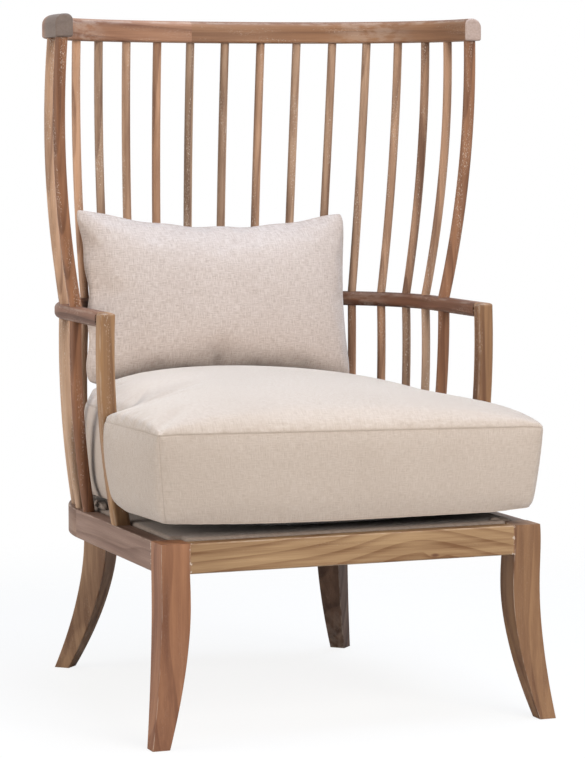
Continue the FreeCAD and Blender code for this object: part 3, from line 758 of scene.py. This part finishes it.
def seat_outline(front, toe, ear, ear_back, neck, back, corner_r):
    """Half the T, from the middle of the front round to the middle of the back, then its mirror."""
    offset = neck * BEND_SHARE
    bend_r = neck - offset
    back_r = bend_r + BACK_FLATTER
    turn = math.degrees(math.asin(offset / (back_r - bend_r)))
    straight = back - back_r + (back_r - bend_r) * math.cos(math.radians(turn))
    half = [(0.0, front)]
    half += toward(half[-1], (toe - corner_r, front), FRONT_MARKS)
    half += arc_points(toe - corner_r, front + corner_r, corner_r, -90, 0, CORNER_STEPS)
    half += line_points(half[-1], (ear, ear_back - EAR_R), 26)
    half += arc_points(ear - EAR_R, ear_back - EAR_R, EAR_R, 0, 90, 5)
    half += line_points(half[-1], (neck + INNER_R, ear_back), 4)
    half += [(neck + INNER_R - INNER_R * math.sin(t), ear_back + INNER_R - INNER_R * math.cos(t))
             for t in np.radians([30, 60, 90])]
    half += line_points(half[-1], (neck, straight), 26)
    half += arc_points(offset, straight, bend_r, 0, 90 - turn, 44)
    half += arc_points(0.0, back - back_r, back_r, 90 - turn, 90, 10)
    whole = half + [(-x, y) for x, y in half[-2:0:-1]]
    return [(x + (NECK_X if y > ear_back else 0.0), y - Y_MID) for x, y in whole]


top_rim = seat_outline(-0.001, 0.329, 0.343, 0.2285, 0.288, 0.711, 0.006)
low_rim = seat_outline(0.011, 0.315, 0.329, 0.219, 0.285, 0.708, 0.016)
rim_count = len(top_rim)
print("seat outline of", rim_count, "points")

# %% [markdown]
# ## The seat cushion
#
# The crown is not even: the filling has been sat to the left and to the back, and the right ear is
# thinner. A cushion that was modelled as a perfect dome would look new and hard, so the film's height
# is made fuller on one side. The lower panel hangs in the middle until it lies on the deck.

# %% Seat seams and panels
SEAM_Z, SEAM_SINK, SEAM_RISE, CORNER_DIP = 0.4845, 0.0185, 0.006, 0.002
LOW_SEAM_Z, LEFT_LIFT, RIGHT_LIFT, EAR_LIFT = 0.3400, 0.0095, 0.005, 0.010
CROWN_H, CROWN_POWER, CROWN_LEAN, SEAT_HALF = 0.0595, 0.54, 0.11, 0.33
CREASE_X, CREASE_Y, CREASE_DEPTH, CREASE_WIDE = -0.285, 0.20, 0.006, 0.010
BELLY_H, BELLY_POWER, BELLY_GAP = 0.06, 2.2, 0.0006
TOP_SPACING, TOP_ROUNDS = 0.0085, 2500
LOW_SPACING, LOW_ROUNDS = 0.011, 1500
COLLARS = (0.0018, 0.0055)


def ramp(value, low, high):
    """0 up to low, 1 from high on, and straight between."""
    return np.clip((value - low) / (high - low), 0, 1)


def top_seam(x, y):
    """The upper seam sinks to the right, dips at the front corners and rises a little to the back."""
    at_corner = ramp(np.abs(x), 0.300, 0.326) * ramp(-y, Y_MID - 0.05, Y_MID)
    return SEAM_Z - SEAM_SINK * x + SEAM_RISE * ramp(y, -0.10, 0.30) - CORNER_DIP * at_corner


def low_seam(x, y):
    """The lower seam sags in the middle, where the pad below carries it, and lifts at the ears."""
    at_front = ramp(-y, -0.10, 0.20)
    lift = LEFT_LIFT * ramp(-x, 0.0, 0.32) ** 2 + RIGHT_LIFT * ramp(x, 0.24, 0.32)
    at_ear = ramp(y + Y_MID, 0.17, 0.22) * ramp(np.abs(x), 0.29, 0.32)
    return LOW_SEAM_Z + at_front * lift + EAR_LIFT * at_ear


def seat_crown(points, film):
    """The stuffed height of the top, fuller on the left, creased where the left ear pulls on the neck."""
    x, y = points[:, 0], points[:, 1] + Y_MID
    lean = 1.0 - CROWN_LEAN * x / SEAT_HALF
    along = (x - CREASE_X) * 0.80 + (y - CREASE_Y) * 0.60
    across = (y - CREASE_Y) * 0.80 - (x - CREASE_X) * 0.60
    crease = CREASE_DEPTH * np.exp(-(across / CREASE_WIDE) ** 2)
    crease *= ramp(along, -0.02, 0.01) * ramp(-along, -0.13, -0.06)
    return CROWN_H * film ** CROWN_POWER * lean - crease


top_points, top_faces = fill_panel(top_rim, TOP_SPACING, COLLARS)
top_film = soap_film(top_points, top_faces, rim_count, TOP_ROUNDS)
top_height = top_seam(top_points[:, 0], top_points[:, 1]) + seat_crown(top_points, top_film)
low_points, low_faces = fill_panel(low_rim, LOW_SPACING, COLLARS)
belly = BELLY_H * soap_film(low_points, low_faces, rim_count, LOW_ROUNDS) ** BELLY_POWER
low_height = np.maximum(low_seam(low_points[:, 0], low_points[:, 1]) - belly, DECK_TOP + BELLY_GAP)
print(len(top_points), "points on top,", len(low_points), "below")

# %% [markdown]
# ## The boxing band
#
# The band is a long strip sewn to both panels, with upright seams at the front corners. A sewn edge is
# never a plain fold: the allowance inside makes a small lip on the panel's side, and just beside it the
# thread pulls a groove. The rows next to each seam are set close together to draw that lip and groove.

# %% Seat band
BAND_H = 0.145
BAND_MARKS = (0.0, 0.010, 0.028, 0.064, 0.13, 0.22, 0.33, 0.45, 0.57, 0.69, 0.80, 0.88, 0.936, 0.972,
              0.990, 1.0)
BAND_ROWS = len(BAND_MARKS) - 1
GROOVE, ROLL, ROLL_UP_TO = 0.0013, 0.0045, 0.13
NECK_FROM, NECK_PUFF, NECK_SIDE_PUFF = 0.232, 0.002, 0.005
EAR_PUFF, EAR_SIDE_PUFF = 0.0015, 0.006
top_line, low_line = np.array(top_rim), np.array(low_rim)
way = np.roll(low_line, -1, axis=0) - np.roll(low_line, 1, axis=0)
out = np.stack([way[:, 1], -way[:, 0]], 1) / np.linalg.norm(way, axis=1)[:, None]
sideways, from_front = np.abs(out[:, 0]), low_line[:, 1] + Y_MID
neck_puff = NECK_PUFF + NECK_SIDE_PUFF * sideways
ear_puff = EAR_PUFF + EAR_SIDE_PUFF * ramp(from_front, 0.0, 0.15) * (sideways > 0.6)
puff = np.where(from_front > NECK_FROM, neck_puff, ear_puff)
corner_seam = len(FRONT_MARKS) + CORNER_STEPS // 2
corner_seams = [corner_seam, rim_count - corner_seam]
seat_points = [(x, y, z) for (x, y), z in zip(top_points, top_height)]
low_first = len(seat_points)
seat_points += [(x, y, z) for (x, y), z in zip(low_points, low_height)]
band_first = len(seat_points)
for row, mark in enumerate(BAND_MARKS[1:-1], 1):
    rise = math.sin(math.pi * mark ** 1.15) ** 0.55
    sunk = GROOVE if row in (1, BAND_ROWS - 1) else 0.0
    roll = ROLL * (1 - (1 - min(1.0, mark / ROLL_UP_TO)) ** 2) * (1 - mark)
    for i in range(rim_count):
        push = puff[i] * rise + roll - sunk - (GROOVE if i in corner_seams else 0.0)
        x, y = low_line[i] + (top_line[i] - low_line[i]) * mark + out[i] * push
        seat_points.append((x, y, low_height[i] + (top_height[i] - low_height[i]) * mark))


def band_index(row, i):
    """The number of a point in a row of the band. The outer rows are the panels' own rims."""
    i %= rim_count
    if row == 0:
        return low_first + i
    if row == BAND_ROWS:
        return i
    return band_first + (row - 1) * rim_count + i


print("band of", BAND_ROWS, "rows")

# %% Sew the seat cover
# Each panel is cut from its own stretch of the cloth.
LOW_CLOTH_AT, BAND_CLOTH_AT = 3.0, 7.0
seat_faces = list(top_faces)
cloth_places = [tuple(top_points[i]) for f in top_faces for i in f]
seat_faces += [tuple(low_first + i for i in reversed(f)) for f in low_faces]
cloth_places += [tuple(low_points[i] + LOW_CLOTH_AT) for f in low_faces for i in reversed(f)]
girth = np.concatenate([[0.0], np.cumsum(np.linalg.norm(np.roll(top_line, -1, 0) - top_line, axis=1))])
for row in range(BAND_ROWS):
    z0, z1 = [BAND_H * BAND_MARKS[r] + BAND_CLOTH_AT for r in (row, row + 1)]
    for i in range(rim_count):
        seat_faces.append((band_index(row, i), band_index(row, i + 1), band_index(row + 1, i + 1),
                           band_index(row + 1, i)))
        cloth_places += [(girth[i], z0), (girth[i + 1], z0), (girth[i + 1], z1), (girth[i], z1)]
seat = make_piece("seat_cushion_cover", seat_points, seat_faces, cloth_places, seat_linen, "seat",
                  "seat_cushion")
rims = set(range(rim_count)) | set(range(low_first, low_first + rim_count))
grooves = {band_index(row, i) for row in (1, BAND_ROWS - 1) for i in range(rim_count)}
upright = {band_index(row, i) for row in range(1, BAND_ROWS) for i in corner_seams}
mark_seams(seat, grooves | upright, rims)
print("seat cover of", len(seat_faces), "faces")

# %% Swell the seat cover
EAR_STOP, EARS_FROM, DECK_GAP = 0.2338, 0.306, 0.0004
TOP_GIVE, LOW_GIVE, SEAT_SLACK = 0.005, 0.003, 0.003
held = {i: 1.0 for i in rims | grooves}
held.update({i: 0.9 for i in upright})
give = np.full(len(seat_points), LOW_GIVE)
give[:low_first] = TOP_GIVE
swell(seat, held, give, SEAT_SLACK)
places = mesh_points(seat.data)
places[:, 2] = np.maximum(places[:, 2], DECK_TOP + DECK_GAP)
in_ears = np.abs(places[:, 0]) > EARS_FROM
places[in_ears, 1] = np.minimum(places[in_ears, 1], EAR_STOP - Y_MID)
set_points(seat, places)
print("seat cushion", [round(v, 3) for v in places.min(0)], [round(v, 3) for v in places.max(0)])

# %% [markdown]
# ## The pillow
#
# The pillow has no band: two panels meet in a knife edge. Filling pulls the sides in between the
# corners, so the outline is hollow and the corners stand out as small ears. It leans on the back and
# stands on the cushion. Each panel is a net of points that crowd towards the rim, where it bends most.

# %% Pillow shape
PILLOW_W, PILLOW_H, PILLOW_T = 0.513, 0.311, 0.116
TOP_HOLLOW, SIDE_HOLLOW, LOW_HOLLOW = 0.027, 0.013, 0.015
TIP_ROUND, LEFT_WAVE, TOP_WAVE = 0.013, 0.003, 0.0015
TOP_LIFT, LEFT_TIP = 0.012, 0.012
PINCH, PINCH_U, PINCH_WIDE = 0.4, -0.08, 0.028
PILLOW_LEAN, PILLOW_YAW, PILLOW_ROLL = math.radians(-9.0), math.radians(3.5), math.radians(1.6)
PILLOW_PLACE = (-0.017, 0.597 - Y_MID, 0.6563)


def pillow_spot(u, v, facing):
    """u and v run from -1 to 1 over a panel, and facing is -1 in front and 1 behind."""
    x = u * (PILLOW_W / 2 - SIDE_HOLLOW * (1 - v * v) * abs(u) ** 2)
    z = v * (PILLOW_H / 2 - (TOP_HOLLOW if v > 0 else LOW_HOLLOW) * (1 - u * u) * abs(v) ** 2)
    high = max(0.0, v)
    z += TOP_LIFT * high ** 3 * u ** 4
    x -= LEFT_TIP * high ** 3 * max(0.0, -u) ** 3
    tip = abs(u * v) ** 9
    x -= math.copysign(TIP_ROUND, u) * tip
    z -= math.copysign(TIP_ROUND, v) * tip
    if u < 0:
        x += LEFT_WAVE * abs(u) ** 10 * math.sin(11.0 * v + 0.6) * (1 - v * v)
    z += TOP_WAVE * high ** 10 * math.sin(16.0 * u + 1.0) * (1 - u * u)
    full = max(0.0, (1 - abs(u) ** 2.6) * (1 - abs(v) ** 2.4)) ** 0.56
    if facing < 0:
        at_foot = min(1.0, max(0.0, -v - 0.68) / 0.12)
        full *= 1 - PINCH * math.exp(-((u - PINCH_U) / PINCH_WIDE) ** 2) * at_foot
    return x, facing * PILLOW_T / 2 * full, z


def turned(a, b, angle):
    return a * math.cos(angle) - b * math.sin(angle), a * math.sin(angle) + b * math.cos(angle)


def pillow_turn(p):
    """Roll, lean and turn the pillow, and set it in its place."""
    x, y, z = p
    x, z = turned(x, z, -PILLOW_ROLL)
    y, z = turned(y, z, PILLOW_LEAN)
    x, y = turned(x, y, PILLOW_YAW)
    return x + PILLOW_PLACE[0], y + PILLOW_PLACE[1], z + PILLOW_PLACE[2]


print("pillow", PILLOW_W, "by", PILLOW_H, "m")

# %% Pillow
COLUMNS, ROWS = 72, 46
CROWDING = math.pi / 2 * 0.92
LIP = 0.0007
CUT_WIDER, CUT_HIGHER, PILLOW_CLOTH_AT = 1.03, 1.05, 12.0
PILLOW_GIVE, PILLOW_SLACK = 0.008, 0.012


def crowded(k, count):
    """From -1 to 1 in steps that get shorter towards both ends."""
    return math.sin(CROWDING * (2 * k / count - 1)) / math.sin(CROWDING)


def from_rim(i, j):
    return min(i, j, COLUMNS - i, ROWS - j)


def pillow_key(facing, i, j):
    """The name of a net point. Both panels share the rim's points."""
    return (facing if from_rim(i, j) else 0, i, j)


pillow_index, pillow_points = {}, []
for facing in (-1, 1):
    for j in range(ROWS + 1):
        for i in range(COLUMNS + 1):
            key = pillow_key(facing, i, j)
            if key not in pillow_index:
                pillow_index[key] = len(pillow_points)
                x, y, z = pillow_spot(crowded(i, COLUMNS), crowded(j, ROWS), key[0])
                pillow_points.append((x, facing * LIP if from_rim(i, j) == 1 else y, z))
pillow_faces, cloth_places = [], []
for facing in (-1, 1):
    for j in range(ROWS):
        for i in range(COLUMNS):
            ring = [(i, j), (i + 1, j), (i + 1, j + 1), (i, j + 1)][::-facing]
            face = tuple(pillow_index[pillow_key(facing, a, b)] for a, b in ring)
            pillow_faces.append(face)
            for x, _, z in [pillow_points[k] for k in face]:
                cloth_places.append((x * CUT_WIDER + facing, z * CUT_HIGHER + PILLOW_CLOTH_AT))
pillow = make_piece("pillow_cover", [pillow_turn(p) for p in pillow_points], pillow_faces, cloth_places,
                    pillow_linen, "pillow_body", "pillow")
near_rim = {k for (facing, i, j), k in pillow_index.items() if from_rim(i, j) == 1}
mark_seams(pillow, near_rim, set())
held = {k: 1.0 for (facing, i, j), k in pillow_index.items() if facing == 0}
held.update({k: 0.95 for k in near_rim})
swell(pillow, held, PILLOW_GIVE, PILLOW_SLACK)
print("pillow of", len(pillow_points), "points")

# %% [markdown]
# ## Cushion under pillow
#
# The pillow presses into the seat. Wherever the cushion would stand higher than the pillow above it,
# its cover goes down to just under the pillow, which is the dent that the weight makes.

# %% Dent under the pillow
DENT_GAP = 0.002
TOP_FROM_Z, BACK_FROM_Y, RAY_FROM_Z = 0.47, 0.05, 0.40
above = BVHTree.FromPolygons([tuple(p) for p in mesh_points(pillow.data)], pillow_faces)
places = mesh_points(seat.data)
dented = 0
for place in places:
    if place[2] < TOP_FROM_Z or place[1] < BACK_FROM_Y:
        continue
    hit = above.ray_cast(Vector((place[0], place[1], RAY_FROM_Z)), Vector((0, 0, 1)))[0]
    if hit is not None and place[2] > hit.z - DENT_GAP:
        place[2] = hit.z - DENT_GAP
        dented += 1
set_points(seat, places)
print("points pressed down:", dented)

# %% [markdown]
# ## Smooth covers
#
# One level of subdivision rounds the facets of the cut mesh, and leaves the creased seams sharp.

# %% Subdivide the covers
for piece in (seat, pillow):
    soft = piece.modifiers.new("soft", "SUBSURF")
    soft.levels = soft.render_levels = 1
print("covers subdivided")

# %% [markdown]
# ## The deck cloth
#
# Between the rails lies a pad covered in cloth, notched around the front legs. Its edge is rounded where
# the cloth is pulled over. Rings of points that step inwards as they rise draw that edge, and the last
# ring is filled as a panel. In two places spare cloth is gathered into a small fold, a pleated roll.

# %% Deck pad
DECK_LOW, DECK_FLAT = 0.3086, DECK_TOP - 0.0002
DECK_HALF, DECK_FRONT, NOTCH_X, NOTCH_Y = 0.295, 0.029, 0.275, 0.053
DECK_BEND_R, DECK_BACK_R, DECK_OFFSET = 0.276, 0.371, frame_run["Corner Offset"]
DECK_TURN, DECK_STRAIGHT = math.degrees(frame_run["Turn"]), frame_run["Straight From"] + Y_MID
FRAME_BACK, RAIL_IN = 0.757, 0.029
DECK_SPACING = 0.022
DECK_EDGE = ((0.0006, DECK_LOW), (0.0004, DECK_LOW + 0.004), (0.0003, DECK_TOP - 0.006),
             (0.0011, DECK_TOP - 0.0032), (0.0030, DECK_TOP - 0.0012), (0.0056, DECK_TOP - 0.0004),
             (0.0090, DECK_FLAT))


def deck_outline(inset):
    """The pad's outline, moved inwards by inset."""
    half = [(0.0, DECK_FRONT + inset)]
    half += line_points(half[-1], (NOTCH_X - inset, DECK_FRONT + inset), 40)
    half += line_points(half[-1], (NOTCH_X - inset, NOTCH_Y + inset), 4)
    half += line_points(half[-1], (DECK_HALF - inset, NOTCH_Y + inset), 4)
    half += line_points(half[-1], (DECK_HALF - inset, DECK_STRAIGHT), 50)
    half += arc_points(DECK_OFFSET, DECK_STRAIGHT, DECK_BEND_R - inset, 0, 90 - DECK_TURN, 50)
    half += arc_points(0.0, FRAME_BACK - RAIL_IN - DECK_BACK_R, DECK_BACK_R - inset, 90 - DECK_TURN, 90, 10)
    half = [(x, y - Y_MID) for x, y in half]
    return half + [(-x, y) for x, y in half[-2:0:-1]]


deck_points = [(x, y, z) for inset, z in DECK_EDGE for x, y in deck_outline(inset)]
deck_count = len(deck_points) // len(DECK_EDGE)
inner_first = len(deck_points)
last_first = inner_first - deck_count
panel_points, panel_faces = fill_panel([p[:2] for p in deck_points[last_first:]], DECK_SPACING)
deck_points += [(x, y, DECK_FLAT) for x, y in panel_points[deck_count:]]
deck_faces = []
for level in range(len(DECK_EDGE) - 1):
    for i in range(deck_count):
        a, b = level * deck_count + i, level * deck_count + (i + 1) % deck_count
        deck_faces.append((a, b, b + deck_count, a + deck_count))
deck_faces += [tuple(last_first + i for i in f) for f in panel_faces]
deck_faces.append(tuple(range(deck_count))[::-1])
print("deck pad of", len(deck_points), "points")

# %% Folds and finish of the deck cloth
FOLD_STEPS, FOLD_AROUND, FOLD_ENDS, PLEAT = 12, 24, 0.35, 0.13


def add_fold(first, last, width, height, pleats):
    """A gathered fold of the deck cloth, a roll with pleats that thins out at both ends."""
    start = len(deck_points)
    run = np.array(last) - np.array(first)
    aside = np.array([run[1], -run[0]]) / np.linalg.norm(run)
    for a in range(FOLD_STEPS + 1):
        t = a / FOLD_STEPS
        full = FOLD_ENDS + (1 - FOLD_ENDS) * math.sin(math.pi * t) ** 0.6
        for b in range(FOLD_AROUND):
            turn = 2 * math.pi * b / FOLD_AROUND
            r = full * (1 + PLEAT * math.cos(pleats * turn + 3.0 * t))
            x, y = np.array(first) + run * t + aside * width / 2 * r * math.cos(turn)
            deck_points.append((x, y, DECK_TOP - 0.001 + height / 2 * (full + r * math.sin(turn))))
    for a in range(FOLD_STEPS):
        for b in range(FOLD_AROUND):
            i = start + a * FOLD_AROUND + b
            j = start + a * FOLD_AROUND + (b + 1) % FOLD_AROUND
            deck_faces.append((j, i, i + FOLD_AROUND, j + FOLD_AROUND))
    deck_faces.append(tuple(start + b for b in range(FOLD_AROUND)))
    deck_faces.append(tuple(start + FOLD_STEPS * FOLD_AROUND + b for b in reversed(range(FOLD_AROUND))))


add_fold((-0.290, 0.022), (-0.286, 0.088), 0.018, 0.0135, 5)
add_fold((0.250, -0.334), (0.268, -0.331), 0.006, 0.0055, 3)
cloth_places = []
for x, y, z in [deck_points[i] for f in deck_faces for i in f]:
    cloth_places.append((x + z, y + z))
deck = make_piece("deck_cloth_cover", deck_points, deck_faces, cloth_places, deck_weave, "frame",
                  "deck_cloth")
print("deck cloth of", len(deck_points), "points")

# %% [markdown]
# ## Floor
#
# The picture is a plain studio shot, white all round. The floor keeps the soft shadow under the feet,
# and what looks straight at it sees it nearly white. It fades out towards its rim, so no horizon shows.

# %% Floor
FLOOR_R, FLOOR_Z, FADE_FROM, FADE_TO = 3.2, -0.0006, 0.9, 1.92
FLOOR_STEPS = 96
FLOOR_GREY, FLOOR_PALE = (0.55, 0.55, 0.55, 1.0), (0.97, 0.97, 0.97, 1.0)
FLOOR_GLOW = 0.86
floor_mesh = bpy.data.meshes.new("floor")
floor_points = [(0.0, 0.0, FLOOR_Z)]
for i in range(FLOOR_STEPS):
    turn = 2 * math.pi * i / FLOOR_STEPS
    floor_points.append((FLOOR_R * math.cos(turn), FLOOR_R * math.sin(turn), FLOOR_Z))
floor_mesh.from_pydata(floor_points, [], [(0, 1 + i, 1 + (i + 1) % FLOOR_STEPS) for i in range(FLOOR_STEPS)])
floor = put("floor", floor_mesh)
floor_finish, tree = new_finish("pale floor")
skin = join(tree.nodes["Principled BSDF"], {
    "Base Color": FLOOR_GREY, "Roughness": 0.9, "Specular IOR Level": 0.0})
lit = flow(tree, "BsdfDiffuse", {"Color": FLOOR_PALE})
glow = flow(tree, "Emission", {"Color": WHITE, "Strength": 1.0})
bright = flow(tree, "MixShader", {0: FLOOR_GLOW, 1: lit, 2: glow})
looked_at = flow(tree, "LightPath", out="Is Camera Ray")
both = flow(tree, "MixShader", {0: looked_at, 1: Flow(skin.outputs[0]), 2: bright})
shown = band(length(flow(tree, "TexCoord", out="Object")), FADE_FROM, FADE_TO, 1.0, 0.0)
fade = flow(tree, "MixShader", {0: shown, 1: flow(tree, "BsdfTransparent"), 2: both})
join(tree.nodes["Material Output"], {"Surface": fade})
floor_mesh.materials.append(floor_finish)
print("floor", FLOOR_R, "m")

# %% [markdown]
# ## Light and background
#
# Three large, soft lamps light the chair: a warm one in front, a cool one overhead, which makes the top
# of the cushion pale, and a weaker one at the left. Wide lamps give no hard shadow. The world is a calm
# grey to the light that reaches the chair, and plain white to whatever looks straight at it.


# %% Lights and background
def soft_lamp(name, place, aim, size, watts, colour):
    data = bpy.data.lights.new(name, "AREA")
    data.shape = "RECTANGLE"
    data.size = data.size_y = size
    data.energy = watts
    data.color = colour
    lamp = put(name, data)
    lamp.location = place
    lamp.rotation_euler = (Vector(aim) - Vector(place)).to_track_quat("-Z", "Y").to_euler()


soft_lamp("front", (0.6, -2.9, 2.0), (0.0, 0.0, 0.5), 2.0, 85.0, (1.0, 0.955, 0.90))
soft_lamp("overhead", (0.5, -0.1, 3.0), (0.0, 0.0, 0.5), 2.2, 76.0, (0.67, 0.80, 1.0))
soft_lamp("side", (-2.8, 0.0, 0.95), (0.0, 0.0, 0.4), 1.8, 48.0, (1.0, 0.97, 0.93))
CALM = 0.2
world = bpy.data.worlds.new("studio")
scene.world = world
world.use_nodes = True
tree = world.node_tree
calm = join(tree.nodes["Background"], {"Color": WHITE, "Strength": CALM})
white = flow(tree, "Background", {"Color": WHITE, "Strength": 1.0})
looks = node(tree, "LightPath").outputs
seen, mirrored, through = [Flow(looks[f"Is {ray} Ray"]) for ray in ("Camera", "Glossy", "Transmission")]
straight = seen.reckon("MAXIMUM", mirrored.reckon("MAXIMUM", through))
both = flow(tree, "MixShader", {0: straight, 1: Flow(calm.outputs[0]), 2: white})
join(tree.nodes["World Output"], {"Surface": both})
scene.view_settings.view_transform = "Standard"
print("lights and background set")
